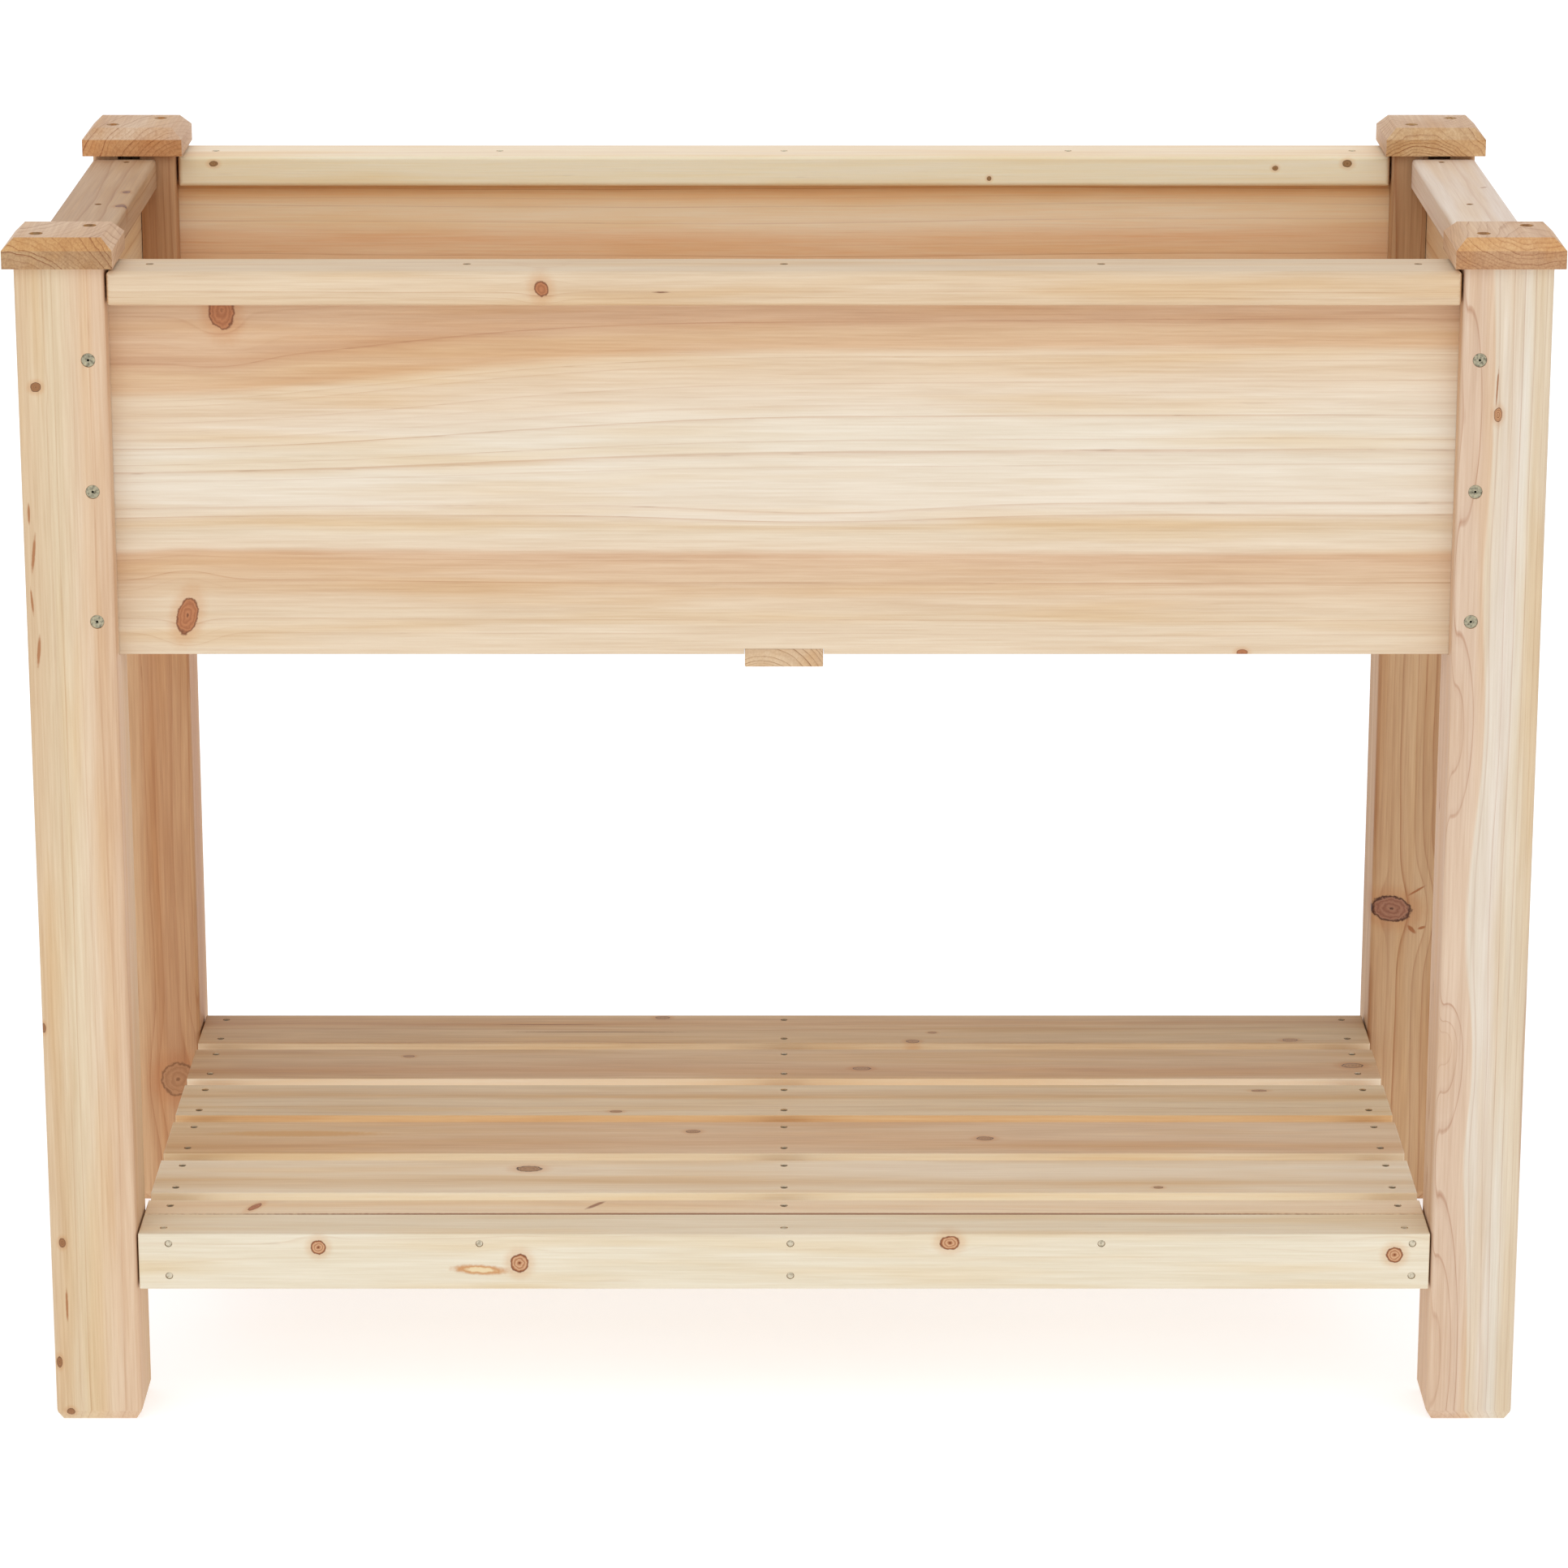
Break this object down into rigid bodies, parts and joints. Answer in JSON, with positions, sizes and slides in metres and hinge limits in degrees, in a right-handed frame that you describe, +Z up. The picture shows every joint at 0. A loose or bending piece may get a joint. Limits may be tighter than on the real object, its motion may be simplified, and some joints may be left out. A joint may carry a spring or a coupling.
{
  "type": "raised planter",
  "caption": "Raised wooden planter box on square legs with chamfered post caps, rounded top rails and a low slatted shelf.",
  "frame": {"origin": "on the ground, at the middle of the planter's outline", "axes": "+Z up, +X along the length to the right, -Y towards the front"},
  "size_m": [0.932, 0.457, 0.759],
  "materials": {
    "leg_wood": "planed softwood, unfinished, close straight grain",
    "cap_wood": "planed softwood, darker heartwood with end grain on two sides",
    "board_wood": "planed wide softwood board, pale sapwood between tan heartwood bands",
    "rail_wood": "planed softwood with rounded edges",
    "batten_wood": "planed softwood",
    "slat_wood": "planed softwood slats with knots",
    "screw_steel": "zinc-plated countersunk screws with a cross recess",
    "nail_steel": "bright flat-headed nails, dulled"
  },
  "bodies": {
    "root": {"leg_front_left": "leg_wood", "leg_front_right": "leg_wood", "leg_rear_left": "leg_wood", "leg_rear_right": "leg_wood", "cap_front_left": "cap_wood", "cap_front_right": "cap_wood", "cap_rear_left": "cap_wood", "cap_rear_right": "cap_wood", "panel_front": "board_wood", "panel_rear": "board_wood", "panel_left": "board_wood", "panel_right": "board_wood", "rail_front": "rail_wood", "rail_rear": "rail_wood", "rail_left": "rail_wood", "rail_right": "rail_wood", "floor_batten_left": "batten_wood", "floor_batten_centre": "batten_wood", "floor_batten_right": "batten_wood", "floor_slat_1": "slat_wood", "floor_slat_2": "slat_wood", "floor_slat_3": "slat_wood", "floor_slat_4": "slat_wood", "floor_slat_5": "slat_wood", "floor_slat_6": "slat_wood", "shelf_front_rail": "rail_wood", "shelf_narrow_slat": "slat_wood", "shelf_slat_1": "slat_wood", "shelf_slat_2": "slat_wood", "shelf_slat_3": "slat_wood", "shelf_slat_4": "slat_wood", "shelf_slat_5": "slat_wood", "shelf_batten_left": "batten_wood", "shelf_batten_centre": "batten_wood", "shelf_batten_right": "batten_wood", "panel_screws": "screw_steel", "cap_screws": "screw_steel", "shelf_screws": "screw_steel", "rail_nails": "nail_steel", "floor_nails": "nail_steel", "floor_batten_nails": "nail_steel", "shelf_slat_nails": "nail_steel", "shelf_front_nails": "nail_steel"}
  },
  "joints": []
}
